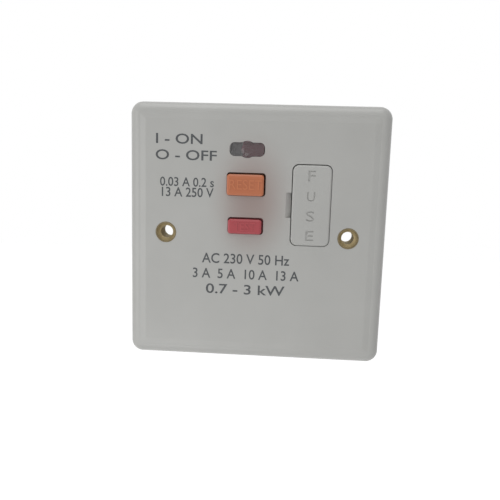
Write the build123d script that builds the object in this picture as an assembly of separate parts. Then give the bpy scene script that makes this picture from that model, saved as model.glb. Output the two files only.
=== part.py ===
from build123d import *
import os
from math import asin, degrees, sin

# One-gang RCD fused connection unit.
# Millimetres. X right, Y into the wall, Z up. The origin is the centre of the square on the wall.

# Front plate
PLATE_W = 86.0
PLATE_DEPTH = 8.5
PLATE_CORNER_R = 4.0
PLATE_EDGE_R = 3.3
PLATE_LEAN = 0.8
PLATE_WALL = 2.5
FACE_PITCH = 0.3
FACE_PITCH_IN = 6.0
RIM_RIB_T = 1.2
RIM_RIB_H = 3.0

# Fixing holes and their eyelets
FIXING_PITCH = 60.3
EYELET_R = 3.45
EYELET_DISH_R = 3.1
EYELET_BORE_R = 2.05
EYELET_TUBE_R = 2.7
EYELET_HEAD_T = 1.3
EYELET_DISH_DEPTH = 1.8
EYELET_DISH_SAG = 0.14
EYELET_FIT = 0.05
PILLAR_R = 4.4

# Status window
LENS_X = -3.7
LENS_Z = 27.85
LENS_W = 11.3
LENS_H = 4.3
LENS_R = 1.6
LENS_EYE_R = 2.7
LENS_WALL = 1.1
LENS_FIT = 0.08
LENS_FLANGE = 0.5
LENS_FLANGE_T = 0.8
LENS_DOME_R = 1.95
LENS_DOME_H = 0.4

# Reset button, seen from the front
RESET_X0 = -10.05
RESET_X1 = 2.0
RESET_Z0 = 12.95
RESET_Z1 = 19.8
RESET_PROUD = 0.9
RESET_TRAVEL = 2.5

# Test button
TEST_X0 = -9.42
TEST_X1 = 1.65
TEST_Z0 = 0.38
TEST_Z1 = 5.2
TEST_PROUD = 0.8
TEST_TRAVEL = 1.5

# Buttons in common: the gap is wide at the top and right, narrow at the left and bottom
BUTTON_GAP_WIDE = 0.6
BUTTON_GAP_THIN = 0.15
BUTTON_R = 0.9
BUTTON_OPENING_R = 1.1
BUTTON_BEVEL = 0.55
BUTTON_BEVEL_DROP = 0.3
BUTTON_FLANGE = 1.3
BUTTON_FLANGE_T = 1.2
BUTTON_STOP_GAP = 0.1

# Fuse carrier, close inside the right wall of the housing and a little longer than its fuse
# The gap round it is wide at the left and top, narrow at the right and bottom
CARRIER_Z = 10.27
CARRIER_W = 12.58
CARRIER_END = 0.45
CARRIER_R = 2.0
CARRIER_PROUD = 0.1
CARRIER_SLAB_T = 3.4
CARRIER_GAP = 0.15
CARRIER_GAP_WIDE = 0.28
CARRIER_BEVEL = 0.45
CARRIER_BEVEL_DROP = 0.3
CARRIER_SKIRT_T = 1.0
CARRIER_SKIRT_IN = 0.2
CARRIER_SKIRT_FUSE_GAP = 1.6
CRADLE_WALL = 1.2
CRADLE_PAST_FUSE = 1.8
CRADLE_CAP_GAP = 0.5
CRADLE_MOUTH = 4.4
CRADLE_FIT = 0.05
TUNNEL_WALL = 1.2
NOTCH_W = 2.05
NOTCH_H = 8.25
NOTCH_DEPTH = 1.5

# Cartridge fuse
FUSE_LEN = 25.4
FUSE_CAP_R = 3.175
FUSE_CAP_LEN = 6.2
FUSE_TUBE_R = 2.9
FUSE_Y = 3.6
CLIP_FIT = 0.05
CLIP_T = 0.6
CLIP_LEN = 4.6

# Rear housing, as wide as fits between the eyelet pillars, and tall enough for the window above
# and for the fuse tunnel with a screw column beyond it
HOUSING_SIDE_GAP = 0.15
HOUSING_WALL = 1.5
HOUSING_BACK_Y = 25.0
HOUSING_R = 2.0
LENS_WALL_GAP = 0.45
COLUMN_R = 2.6
COLUMN_TUNNEL_GAP = 0.55
COLUMN_SIDE_GAP = 0.3
COLUMN_END_GAP = 0.5
COLUMN_TERMINAL_GAP = 0.6
SCREW_R = 1.4
SCREW_HEAD_R = 2.3
SCREW_HEAD_T = 1.8
THREAD_FIT = 0.05

# Inner frame
DECK_Y = 9.0
DECK_T = 1.4
DECK_GAP = 0.2

# Terminals, three at the top and three at the bottom, spread between the screw columns
TERMINAL_W = 8.0
TERMINAL_D = 9.0
TERMINAL_H = 8.0
TERMINAL_GAP = 0.1
TERMINAL_PAD = 1.4
TERMINAL_RIB_T = 1.2
TERMINAL_STOP = 4.0
WIRE_BORE_R = 2.1
WIRE_ENTRY_R = 2.9
CLAMP_R = 1.75
CLAMP_HEAD_R = 2.4
CLAMP_HEAD_T = 1.8
CLAMP_TRAVEL = 3.3
CLAMP_ACCESS_R = 2.7

# Circuit board and what stands on it
BOARD_Y = 4.0
BOARD_T = 1.6
BOARD_SIDE_GAP = 1.7
BOARD_END_GAP = 6.2
BOARD_TEST_MARGIN = 2.2
BOARD_TUNNEL_GAP = 1.05
BOARD_POST_R = 2.2
BOARD_SCREW_R = 1.0
CAPACITOR_R = 4.0
CAPACITOR_LEN = 11.0
CAPACITOR_IN = 4.6
CAPACITOR_UP = 6.6
VARISTOR_R = 5.0
VARISTOR_T = 3.5
VARISTOR_IN = 14.4
VARISTOR_UP = 9.0
RESISTOR_R = 1.5
RESISTOR_LEN = 8.0
RESISTOR_DROP = 6.5
CHIP_W = 10.0
CHIP_H = 4.0
CHIP_T = 1.6
CHIP_IN = 13.4
CHIP_UP = 4.5
CHIP_LEG_W = 0.4
CHIP_LEG_LEN = 1.0
CHIP_LEG_COUNT = 8

# Sensing toroid
TOROID_X = -4.0
TOROID_Z = -2.0
TOROID_OUT_R = 5.5
TOROID_IN_R = 4.1
TOROID_H = 4.8
WINDING_T = 0.6
WINDING_LOBES = 18

# Contacts and busbars
STEM_W = 4.6
STEM_H = 4.4
STEM_LEFT_OF_LEVER = 4.0
CARRIAGE_D = 4.0
CONTACT_LEFT_OF_STEM = 2.0
CONTACT_RIGHT_OF_STEM = 3.4
CONTACT_DROP = 1.5
CONTACT_SPAN = 10.0
CONTACT_R = 1.2
CONTACT_TIP = 1.0
CONTACT_CLEAR = 0.05
CONTACT_BAR_W = 2.8
CONTACT_BAR_T = 0.7
BUSBAR_W = 2.4
BUSBAR_T = 0.8
STRIP_TURN_GAP = 1.1
STRIP_GAP = 1.0
NEUTRAL_TURN_DROP = 6.0
LIVE_TURN_IN = 5.4
FEED_TURN_UP = 7.0
STRAP_TURN_UP = 3.0
STRAP_REST_IN = 4.0
STRAP_REST_LEN = 2.0
STRAP_TONGUE_RIM = 0.9

# Flag and the lever that drives it
FLAG_SPLIT_X = -5.3
FLAG_TRAVEL = 6.8
FLAG_T = 1.0
FLAG_GAP = 0.3
FLAG_H = 5.7
LEVER_X = -3.0
LEVER_Y = 5.0
LEVER_FLAG_GAP = 0.7
LEVER_T = 2.0
LEVER_OUT = 7.5
LEVER_HUB_R = 1.7
LEVER_PIN_R = 0.8
LEVER_TIP_R = 0.8
LEVER_IN_TIP_R = 0.6
LEVER_ARM_HALF = 0.5
LEVER_IN_ARM_HALF = 0.34
LEVER_FIT = 0.06
FORK_FIT = 0.3
FORK_T = 1.0

# Trip solenoid
SOLENOID_Y = 3.2
SOLENOID_SIDE_GAP = 0.7
SEAR_REACH = 5.2
SOLENOID_FLANGE_R = 4.0
SOLENOID_COIL_R = 3.6
SOLENOID_CORE_R = 2.2
PLUNGER_R = 1.4
PLUNGER_FIT = 0.15
PLUNGER_TRAVEL = 2.0
YOKE_T = 0.9
SEAR_BITE = 0.8

# Springs
RESET_SPRING_R = 1.7
RESET_SPRING_WIRE = 0.3
RESET_SPRING_TURNS = 4
TEST_SPRING_R = 2.6
TEST_SPRING_WIRE = 0.25
TEST_SPRING_TURNS = 3
SPRING_SEAT = 0.05

# Worked out from the sizes above
FACE_Y = -PLATE_DEPTH
INNER_Y = FACE_Y + PLATE_WALL
CARRIER_H = FUSE_LEN + 2 * CARRIER_END
TUNNEL_Z0 = CARRIER_Z - CARRIER_H / 2 - CARRIER_GAP - TUNNEL_WALL
TUNNEL_Z1 = CARRIER_Z + CARRIER_H / 2 + CARRIER_GAP_WIDE + TUNNEL_WALL
HOUSING_W = FIXING_PITCH - 2 * (PILLAR_R + HOUSING_SIDE_GAP)
IN_X = HOUSING_W / 2 - HOUSING_WALL
IN_Z = max(
    LENS_Z + LENS_EYE_R + LENS_FLANGE + LENS_WALL_GAP,
    TUNNEL_Z1 + COLUMN_TUNNEL_GAP + 2 * COLUMN_R + COLUMN_END_GAP,
)
HOUSING_H = 2 * (IN_Z + HOUSING_WALL)
SCREW_X = IN_X - COLUMN_SIDE_GAP - COLUMN_R
SCREW_Z = IN_Z - COLUMN_END_GAP - COLUMN_R
BACK_IN_Y = HOUSING_BACK_Y - HOUSING_WALL
DECK_BACK_Y = DECK_Y + DECK_T
RESET_Z = (RESET_Z0 + RESET_Z1) / 2
TEST_X = (TEST_X0 + TEST_X1) / 2
TEST_Z = (TEST_Z0 + TEST_Z1) / 2
CARRIER_X1 = IN_X - CARRIER_GAP
CARRIER_X0 = CARRIER_X1 - CARRIER_W
CARRIER_X = (CARRIER_X0 + CARRIER_X1) / 2
TUNNEL_X0 = CARRIER_X0 - CARRIER_GAP_WIDE - TUNNEL_WALL
CARRIER_Z0 = CARRIER_Z - CARRIER_H / 2
CARRIER_Z1 = CARRIER_Z + CARRIER_H / 2
SLAB_BACK_Y = FACE_Y - CARRIER_PROUD + CARRIER_SLAB_T
FUSE_Z0 = CARRIER_Z - FUSE_LEN / 2
FUSE_Z1 = CARRIER_Z + FUSE_LEN / 2
CLIP_TOP_Z = FUSE_Z1 - FUSE_CAP_LEN / 2
CLIP_BOTTOM_Z = FUSE_Z0 + FUSE_CAP_LEN / 2
TERMINAL_BACK_Y = BACK_IN_Y - TERMINAL_PAD
TERMINAL_FRONT_Y = TERMINAL_BACK_Y - TERMINAL_D
TERMINAL_PITCH = SCREW_X - COLUMN_R - COLUMN_TERMINAL_GAP - TERMINAL_W / 2
TERMINAL_Z = IN_Z - TERMINAL_GAP - TERMINAL_H / 2
TERMINAL_INNER_Z = TERMINAL_Z - TERMINAL_H / 2
WIRE_Y = TERMINAL_FRONT_Y + WIRE_BORE_R + 1.0
BOARD_BACK_Y = BOARD_Y + BOARD_T
BOARD_X1 = IN_X - BOARD_SIDE_GAP
BOARD_X0 = -BOARD_X1
BOARD_Z0 = BOARD_END_GAP - IN_Z
BOARD_Z1 = TEST_Z1 + BOARD_TEST_MARGIN
BOARD_STEP_X = TUNNEL_X0 - BOARD_TUNNEL_GAP
BOARD_STEP_Z = TUNNEL_Z0 - BOARD_TUNNEL_GAP
CARRIAGE_Y = DECK_BACK_Y + RESET_TRAVEL + 0.1
CARRIAGE_BACK_Y = CARRIAGE_Y + CARRIAGE_D
TIP_Y = CARRIAGE_BACK_Y + CONTACT_BAR_T + CONTACT_TIP
FIXED_Y = TIP_Y + CONTACT_CLEAR + CONTACT_TIP
CONTACT_Z = RESET_Z - CONTACT_DROP
CONTACT_LOW_Z = CONTACT_Z - CONTACT_SPAN / 2
CONTACT_HIGH_Z = CONTACT_Z + CONTACT_SPAN / 2
STRIP_TURN_Z = CONTACT_LOW_Z - BUSBAR_W - STRIP_TURN_GAP
TOROID_Y = (DECK_BACK_Y + BACK_IN_Y) / 2
RESET_FLANGE_Y = INNER_Y + RESET_TRAVEL + BUTTON_STOP_GAP
TEST_FLANGE_Y = INNER_Y + BUTTON_STOP_GAP
LENS_BACK_Y = INNER_Y + LENS_FLANGE_T
FLAG_Y = LENS_BACK_Y + FLAG_GAP
FLAG_BACK_Y = FLAG_Y + FLAG_T
FLAG_Z0 = LENS_Z - FLAG_H / 2
FLAG_Z1 = LENS_Z + FLAG_H / 2
LEVER_SWING = 2 * asin(FLAG_TRAVEL / 2 / LEVER_OUT)
LEVER_IN = RESET_TRAVEL / 2 / sin(LEVER_SWING / 2)
LEVER_Z1 = FLAG_Z0 - LEVER_FLAG_GAP
LEVER_Z0 = LEVER_Z1 - LEVER_T
STEM_X0 = LEVER_X - STEM_LEFT_OF_LEVER
STEM_X1 = STEM_X0 + STEM_W
STEM_Z0 = RESET_Z - STEM_H / 2
STEM_Z1 = RESET_Z + STEM_H / 2
CONTACT_X_NEUTRAL = STEM_X0 - CONTACT_LEFT_OF_STEM
CONTACT_X_LIVE = STEM_X1 + CONTACT_RIGHT_OF_STEM
SOLENOID_X0 = SOLENOID_SIDE_GAP - IN_X
SOLENOID_X1 = STEM_X0 - SEAR_REACH
SOLENOID_Z = RESET_Z
RESET_SPRING_X = RESET_X1 - RESET_SPRING_R


def block(x0, x1, y0, y1, z0, z1):
    """A plain block between two opposite corners."""
    place = Pos((x0 + x1) / 2, (y0 + y1) / 2, (z0 + z1) / 2)
    return place * Box(x1 - x0, y1 - y0, z1 - z0)


def prism(outline, y0, y1):
    """An outline drawn as seen from the front, made solid from depth y0 to depth y1."""
    plane = Plane(origin=(0, y1, 0), x_dir=(1, 0, 0), z_dir=(0, -1, 0))
    return extrude(plane * outline, amount=y1 - y0)


def slice_up(outline, z0, z1):
    """An outline drawn as seen from above, made solid from height z0 to height z1."""
    return extrude(Plane.XY.offset(z0) * outline, amount=z1 - z0)


def rod_y(x, z, r, y0, y1):
    """A round rod along Y."""
    return Pos(x, (y0 + y1) / 2, z) * Rot(90, 0, 0) * Cylinder(r, y1 - y0)


def rod_z(x, y, r, z0, z1):
    """A round rod along Z."""
    return Pos(x, y, (z0 + z1) / 2) * Cylinder(r, z1 - z0)


def rod_x(y, z, r, x0, x1):
    """A round rod along X."""
    return Pos((x0 + x1) / 2, y, z) * Rot(0, 90, 0) * Cylinder(r, x1 - x0)


def plain(x0, x1, z0, z1, r):
    """A rectangle with round corners, as seen from the front."""
    return Pos((x0 + x1) / 2, (z0 + z1) / 2) * RectangleRounded(x1 - x0, z1 - z0, r)


def front_edges(solid):
    """The edges that bound the foremost face."""
    return solid.faces().sort_by(Axis.Y)[0].edges()


def busbar(points, width=BUSBAR_W, thick=BUSBAR_T):
    """A flat bar of constant width that turns square corners from point to point."""
    bar = None
    for (xa, ya, za), (xb, yb, zb) in zip(points, points[1:]):
        run = block(
            min(xa, xb) - width / 2, max(xa, xb) + width / 2,
            min(ya, yb) - thick / 2, max(ya, yb) + thick / 2,
            min(za, zb) - width / 2, max(za, zb) + width / 2,
        )
        bar = run if bar is None else bar + run
    return bar


def coil(x, z, r, wire_r, turns, y0, y1):
    """A helical compression spring along Y with its ends at y0 and y1."""
    length = y1 - y0 - 2 * wire_r
    path = Helix(pitch=length / turns, height=length, radius=r)
    section = Plane(origin=path @ 0, z_dir=path % 0) * Circle(wire_r)
    return Pos(x, y1 - wire_r, z) * Rot(90, 0, 0) * sweep(section, path=path, is_frenet=True)


def lens_outline(grow):
    """The window: a wide slot with a round eye in its middle."""
    slot = RectangleRounded(LENS_W + 2 * grow, LENS_H + 2 * grow, LENS_R + grow)
    return Pos(LENS_X, LENS_Z) * (slot + Circle(LENS_EYE_R + grow))


def carrier_opening(right):
    """The opening round the fuse carrier, as far to the right as asked."""
    return plain(
        CARRIER_X0 - CARRIER_GAP_WIDE, right,
        CARRIER_Z0 - CARRIER_GAP, CARRIER_Z1 + CARRIER_GAP_WIDE, CARRIER_R + CARRIER_GAP,
    )


def turn_about_y(points_r_y, x):
    """A solid of revolution about a line along Y, from radius and depth pairs."""
    line = Polyline(*[(r, y) for r, y in points_r_y], close=True)
    return Pos(x, 0, 0) * revolve(make_face(line), axis=Axis.Y)


def housing_screw_places():
    """Centres of the four housing screws."""
    return [(sx * SCREW_X, sz * SCREW_Z) for sx in (-1, 1) for sz in (-1, 1)]


def board_screw_places():
    """Centres of the three circuit board screws."""
    side = BOARD_POST_R + 0.3
    return [
        (BOARD_X0 + side, BOARD_Z0 + side),
        (BOARD_X1 - side, BOARD_Z0 + side),
        (BOARD_X0 + side, BOARD_Z1 - side),
    ]


def terminal_places():
    """Name, place across and side (1 top, -1 bottom) of each terminal."""
    top = (("load_neutral", -1), ("load_live", 0), ("load_earth", 1))
    bottom = (("supply_neutral", -1), ("supply_earth", 0), ("supply_live", 1))
    places = [(name, column * TERMINAL_PITCH, 1) for name, column in top]
    return places + [(name, column * TERMINAL_PITCH, -1) for name, column in bottom]


def spread(side, near, far):
    """Two heights measured outwards from the middle, in rising order, on one side."""
    return (near, far) if side > 0 else (-far, -near)


def front_plate():
    """The moulded plate: a shallow tray with openings, pillars, bosses and a fuse tunnel."""
    pitch_y = FACE_Y + FACE_PITCH
    half = PLATE_W / 2
    rim = Plane(origin=(0, 0, 0), x_dir=(1, 0, 0), z_dir=(0, -1, 0))
    low = Plane(origin=(0, pitch_y, 0), x_dir=(1, 0, 0), z_dir=(0, -1, 0))
    high = Plane(origin=(0, FACE_Y, 0), x_dir=(1, 0, 0), z_dir=(0, -1, 0))
    front_w = PLATE_W - 2 * PLATE_LEAN
    body = loft([
        rim * RectangleRounded(PLATE_W, PLATE_W, PLATE_CORNER_R),
        low * RectangleRounded(front_w, front_w, PLATE_CORNER_R),
    ])
    body = fillet(front_edges(body), PLATE_EDGE_R)
    outer = front_w - 2 * PLATE_EDGE_R
    inner = PLATE_W - 2 * FACE_PITCH_IN
    small_r = PLATE_CORNER_R - PLATE_EDGE_R
    body += loft([
        low * RectangleRounded(outer, outer, small_r),
        high * RectangleRounded(inner, inner, small_r),
    ])
    hollow = half - PLATE_WALL
    body -= prism(plain(-hollow, hollow, -hollow, hollow, PLATE_CORNER_R - PLATE_WALL), INNER_Y, 0)

    for x, z in housing_screw_places():
        body += rod_y(x, z, COLUMN_R, INNER_Y, DECK_Y)
        body -= rod_y(x, z, SCREW_R + THREAD_FIT, INNER_Y + 3, DECK_Y)
    for side in (-1, 1):
        body += rod_y(side * FIXING_PITCH / 2, 0, PILLAR_R, INNER_Y, 0)

    # Ribs that stiffen the rim outside the housing
    rib_in = HOUSING_H / 2 + 0.5
    rib_half = RIM_RIB_T / 2
    rib_back = INNER_Y + RIM_RIB_H
    for along in (-1, 1):
        for across in (-1, 0, 1):
            place = across * PLATE_W / 4
            z0, z1 = spread(along, rib_in, hollow + PLATE_WALL / 2)
            body += block(place - rib_half, place + rib_half, INNER_Y, rib_back, z0, z1)
        for across in (-1, 1):
            place = across * PLATE_W / 4
            x0, x1 = spread(along, HOUSING_W / 2 + 0.5, hollow + PLATE_WALL / 2)
            body += block(x0, x1, INNER_Y, rib_back, place - rib_half, place + rib_half)

    # Tunnel that guides the fuse carrier, closed on its right by the housing wall
    tunnel = plain(TUNNEL_X0, IN_X - 0.1, TUNNEL_Z0, TUNNEL_Z1, 0.3)
    body += prism(tunnel, INNER_Y, DECK_Y) - prism(carrier_opening(IN_X + 1), INNER_Y, DECK_Y)
    body -= prism(carrier_opening(CARRIER_X1 + CARRIER_GAP), FACE_Y - 1, INNER_Y + 0.01)

    # Screwdriver notch, a ramp that falls towards the carrier
    notch_x1 = CARRIER_X0
    ramp = Polyline(
        (notch_x1 - NOTCH_W, FACE_Y), (notch_x1, FACE_Y + NOTCH_DEPTH),
        (notch_x1, FACE_Y - 1), (notch_x1 - NOTCH_W, FACE_Y - 1), close=True,
    )
    body -= slice_up(make_face(ramp), CARRIER_Z - NOTCH_H / 2, CARRIER_Z + NOTCH_H / 2)

    # Button openings and the window
    body -= prism(button_opening(RESET_X0, RESET_X1, RESET_Z0, RESET_Z1), FACE_Y - 1, INNER_Y)
    body -= prism(button_opening(TEST_X0, TEST_X1, TEST_Z0, TEST_Z1), FACE_Y - 1, INNER_Y)
    body -= prism(lens_outline(LENS_FIT), FACE_Y - 1, INNER_Y)

    # Rails that carry the flag, either side of where its tab runs
    flag_x0, flag_x1 = flag_ends()
    tab_x0, tab_x1 = flag_tab_ends()
    rail_z1 = FLAG_Z0 - 0.1
    for x0, x1 in ((flag_x0, tab_x0 - 0.4), (tab_x1 + FLAG_TRAVEL + 0.4, flag_x1 + FLAG_TRAVEL)):
        body += block(x0, x1, INNER_Y, FLAG_BACK_Y + 0.4, rail_z1 - 0.8, rail_z1)

    # Holes for the eyelets, with the left pillar cut back under the earth strap
    for side in (-1, 1):
        body -= turn_about_y(eyelet_outer(EYELET_FIT, FACE_Y - 1, 1), side * FIXING_PITCH / 2)
    strap_x = -FIXING_PITCH / 2
    body -= rod_y(strap_x, 0, PILLAR_R + 0.1, -BUSBAR_T, 1)
    return body


def button_opening(x0, x1, z0, z1):
    """The opening round a button."""
    return plain(
        x0 - BUTTON_GAP_THIN, x1 + BUTTON_GAP_WIDE,
        z0 - BUTTON_GAP_THIN, z1 + BUTTON_GAP_WIDE, BUTTON_OPENING_R,
    )


def eyelet_outer(grow, front, back):
    """Radius and depth pairs of the space that an eyelet fills."""
    head_back = FACE_Y + EYELET_HEAD_T
    neck = FACE_Y + EYELET_DISH_DEPTH + EYELET_R - EYELET_DISH_R
    return [
        (0, front), (EYELET_R + grow, front), (EYELET_R + grow, head_back),
        (EYELET_TUBE_R + grow, neck), (EYELET_TUBE_R + grow, back), (0, back),
    ]


def eyelet(side):
    """A pressed brass eyelet with a dished head for the fixing screw."""
    solid = turn_about_y(eyelet_outer(0, FACE_Y, 0), 0)
    dish_y = FACE_Y + EYELET_DISH_DEPTH
    mid_r = (EYELET_DISH_R + EYELET_BORE_R) / 2 + EYELET_DISH_SAG
    mid_y = (FACE_Y + dish_y) / 2 + EYELET_DISH_SAG
    dish = make_face([
        Line((0, FACE_Y - 1), (EYELET_DISH_R, FACE_Y - 1)),
        Line((EYELET_DISH_R, FACE_Y - 1), (EYELET_DISH_R, FACE_Y)),
        ThreePointArc((EYELET_DISH_R, FACE_Y), (mid_r, mid_y), (EYELET_BORE_R, dish_y)),
        Line((EYELET_BORE_R, dish_y), (EYELET_BORE_R, 1)),
        Line((EYELET_BORE_R, 1), (0, 1)),
        Line((0, 1), (0, FACE_Y - 1)),
    ])
    solid -= revolve(dish, axis=Axis.Y)
    return Pos(side * FIXING_PITCH / 2, 0, 0) * solid


def window_lens():
    """Clear window: hollow behind, with a retaining flange and a domed eye."""
    body = prism(lens_outline(0), FACE_Y, LENS_BACK_Y)
    body = fillet(front_edges(body), 0.35)
    ball_r = (LENS_DOME_R ** 2 + LENS_DOME_H ** 2) / (2 * LENS_DOME_H)
    eye = Pos(LENS_X, FACE_Y - LENS_DOME_H + ball_r, LENS_Z) * Sphere(ball_r)
    eye &= rod_y(LENS_X, LENS_Z, LENS_DOME_R + 0.2, FACE_Y - 2, FACE_Y + LENS_WALL / 2)
    body += eye
    body += prism(lens_outline(LENS_FLANGE), INNER_Y, LENS_BACK_Y)
    body -= prism(lens_outline(-LENS_WALL), FACE_Y + LENS_WALL, LENS_BACK_Y)
    return body


def flag_ends():
    """How far the flag reaches left and right at rest, to fill the window at both ends."""
    left = LENS_X - LENS_W / 2 - FLAG_TRAVEL - 0.2
    right = LENS_X + LENS_W / 2 + 0.2
    return left, right


def flag_fork_x():
    """Middle of the flag's fork at rest."""
    return LEVER_X - FLAG_TRAVEL / 2


def flag_tab_ends():
    """Left and right of the tab that joins the flag to its fork."""
    half = LEVER_TIP_R + FORK_FIT + FORK_T
    return flag_fork_x() - half, flag_fork_x() + half


def flag_recess():
    """The shallow recess in the flag's front that holds the red panel."""
    right = flag_ends()[1]
    return (FLAG_SPLIT_X, right - 0.4, FLAG_Y, FLAG_Y + FLAG_T / 2, FLAG_Z0 + 0.3, FLAG_Z1 - 0.3)


def status_flag():
    """Black sliding flag with a fork at its lower edge."""
    left, right = flag_ends()
    tab_x0, tab_x1 = flag_tab_ends()
    body = block(left, right, FLAG_Y, FLAG_BACK_Y, FLAG_Z0, FLAG_Z1)
    body -= block(*flag_recess())
    body += block(tab_x0, tab_x1, FLAG_Y, FLAG_BACK_Y, LEVER_Z0, FLAG_Z0)
    mid_tip_y = LEVER_Y - LEVER_OUT
    prong_y = mid_tip_y + 1.1
    for x0 in (tab_x0, tab_x1 - FORK_T):
        body += block(x0, x0 + FORK_T, FLAG_BACK_Y, prong_y, LEVER_Z0, LEVER_Z1)
    return body


def flag_red_panel():
    """Red panel set flush in the flag."""
    return block(*flag_recess())


def flag_lever():
    """Bell crank between the reset stem and the flag, turned to its place at rest."""
    thick = (LEVER_Z0, LEVER_Z1)
    tip_room = LEVER_TIP_R
    out = slice_up(Pos(0, -LEVER_OUT / 2) * Rectangle(2 * LEVER_ARM_HALF, LEVER_OUT), *thick)
    out += slice_up(Pos(0, -LEVER_OUT) * Circle(tip_room), *thick)
    inward = slice_up(Pos(-LEVER_IN / 2, 0) * Rectangle(LEVER_IN, 2 * LEVER_IN_ARM_HALF), *thick)
    inward += slice_up(Pos(-LEVER_IN, 0) * Circle(LEVER_IN_TIP_R), *thick)
    hub = slice_up(Circle(LEVER_HUB_R), *thick)
    body = out + inward + hub
    body -= slice_up(Circle(LEVER_PIN_R + LEVER_FIT), *thick)
    return Pos(LEVER_X, LEVER_Y, 0) * Rot(0, 0, -degrees(LEVER_SWING / 2)) * body


def flag_lever_pin():
    """Steel pin that the flag lever turns on."""
    return rod_z(LEVER_X, LEVER_Y, LEVER_PIN_R, LEVER_Z0 - 0.4, LEVER_Z1 + 1.7)


def button_cap(x0, x1, z0, z1, proud, back_y):
    """A button's cap with a bevelled rim."""
    cap = prism(plain(x0, x1, z0, z1, BUTTON_R), FACE_Y - proud, back_y)
    return chamfer(front_edges(cap), BUTTON_BEVEL_DROP, BUTTON_BEVEL)


def reset_button():
    """Reset button: cap, captive flange, stem with the sear notch, and the lever's fork."""
    flange_back = RESET_FLANGE_Y + BUTTON_FLANGE_T
    body = button_cap(RESET_X0, RESET_X1, RESET_Z0, RESET_Z1, RESET_PROUD, RESET_FLANGE_Y)
    body += block(
        RESET_X0 - BUTTON_FLANGE, RESET_X1 + BUTTON_FLANGE, RESET_FLANGE_Y, flange_back,
        RESET_Z0 - BUTTON_FLANGE, RESET_Z1 + BUTTON_FLANGE,
    )
    body += block(STEM_X0, STEM_X1, flange_back, CARRIAGE_Y, STEM_Z0, STEM_Z1)

    # Fork that drives the lever
    pin_y = LEVER_Y + RESET_TRAVEL / 2
    slot = LEVER_IN_TIP_R + 0.15
    pin_x = LEVER_X - LEVER_IN
    prong_x1 = pin_x + LEVER_IN_TIP_R + 0.15
    low_y = pin_y - slot - FORK_T
    high_y = pin_y + slot + FORK_T
    body += block(STEM_X0, prong_x1, low_y, high_y, STEM_Z1, LEVER_Z0 - 0.2)
    for y0 in (low_y, high_y - FORK_T):
        body += block(STEM_X0, prong_x1, y0, y0 + FORK_T, LEVER_Z0 - 0.2, LEVER_Z1)

    # Notch that the sear holds, sloped so that the sear can slip out as the stem moves
    deep_x = STEM_X0 + SEAR_BITE + 0.1
    slope = RESET_TRAVEL / PLUNGER_TRAVEL
    nose_y = SOLENOID_Y + 0.1
    notch = make_face(Polyline(
        (STEM_X0 - 0.5, SOLENOID_Y - 1.4), (deep_x, SOLENOID_Y - 1.4), (deep_x, nose_y),
        (STEM_X0 - 0.5, nose_y + slope * (deep_x - STEM_X0 + 0.5)), close=True,
    ))
    body -= slice_up(notch, STEM_Z0, STEM_Z1)
    return body


def contact_carriage():
    """Moulded bridge on the end of the reset stem that carries both moving contacts."""
    half = CONTACT_BAR_W / 2 + 1.1
    body = block(
        CONTACT_X_NEUTRAL - half, CONTACT_X_LIVE + half,
        CARRIAGE_Y, CARRIAGE_BACK_Y, CONTACT_Z - 3.4, STEM_Z1,
    )
    for x in (CONTACT_X_NEUTRAL, CONTACT_X_LIVE):
        body += block(
            x - CONTACT_BAR_W / 2, x + CONTACT_BAR_W / 2, CARRIAGE_Y + CARRIAGE_D / 2, CARRIAGE_BACK_Y,
            CONTACT_Z - CONTACT_SPAN / 2, CONTACT_Z + CONTACT_SPAN / 2,
        )
    return body


def moving_contact(x):
    """Contact bar with a tip at each end."""
    body = prism(
        plain(
            x - CONTACT_BAR_W / 2, x + CONTACT_BAR_W / 2,
            CONTACT_LOW_Z - CONTACT_R - 0.3, CONTACT_HIGH_Z + CONTACT_R + 0.3, 0.6,
        ),
        CARRIAGE_BACK_Y, CARRIAGE_BACK_Y + CONTACT_BAR_T,
    )
    for z in (CONTACT_LOW_Z, CONTACT_HIGH_Z):
        body += rod_y(x, z, CONTACT_R, CARRIAGE_BACK_Y + CONTACT_BAR_T, TIP_Y)
    return body


def load_contact(x, terminal_x):
    """Upper fixed contact, joined to the inner face of its load terminal."""
    back = FIXED_Y + BUSBAR_T
    x0 = min(x, terminal_x) - CONTACT_BAR_W / 2
    x1 = max(x, terminal_x) + CONTACT_BAR_W / 2
    body = block(
        x - CONTACT_BAR_W / 2, x + CONTACT_BAR_W / 2, FIXED_Y, back,
        CONTACT_HIGH_Z - CONTACT_BAR_W / 2, TERMINAL_INNER_Z,
    )
    body += block(x0, x1, FIXED_Y, back, TERMINAL_INNER_Z - CONTACT_BAR_W / 2, TERMINAL_INNER_Z)
    body += rod_y(x, CONTACT_HIGH_Z, CONTACT_R, FIXED_Y - CONTACT_TIP, FIXED_Y)
    return body


def supply_strip(points, x):
    """A busbar that ends in the lower fixed contact."""
    pad_y = FIXED_Y + BUSBAR_T / 2
    end = [(x, TOROID_Y, STRIP_TURN_Z), (x, pad_y, STRIP_TURN_Z), (x, pad_y, CONTACT_LOW_Z)]
    body = busbar(points + end)
    body += rod_y(x, CONTACT_LOW_Z, CONTACT_R, FIXED_Y - CONTACT_TIP, FIXED_Y)
    return body


def neutral_strip():
    """From the supply neutral terminal through the toroid to the neutral contact."""
    through_x = TOROID_X - BUSBAR_W / 2 - STRIP_GAP / 2
    turn_z = TOROID_Z - TOROID_H / 2 - WINDING_T - BUSBAR_W - NEUTRAL_TURN_DROP
    return supply_strip([
        (-TERMINAL_PITCH, TOROID_Y, -TERMINAL_INNER_Z + BUSBAR_W / 2),
        (-TERMINAL_PITCH, TOROID_Y, turn_z),
        (through_x, TOROID_Y, turn_z),
        (through_x, TOROID_Y, STRIP_TURN_Z),
    ], CONTACT_X_NEUTRAL)


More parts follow.
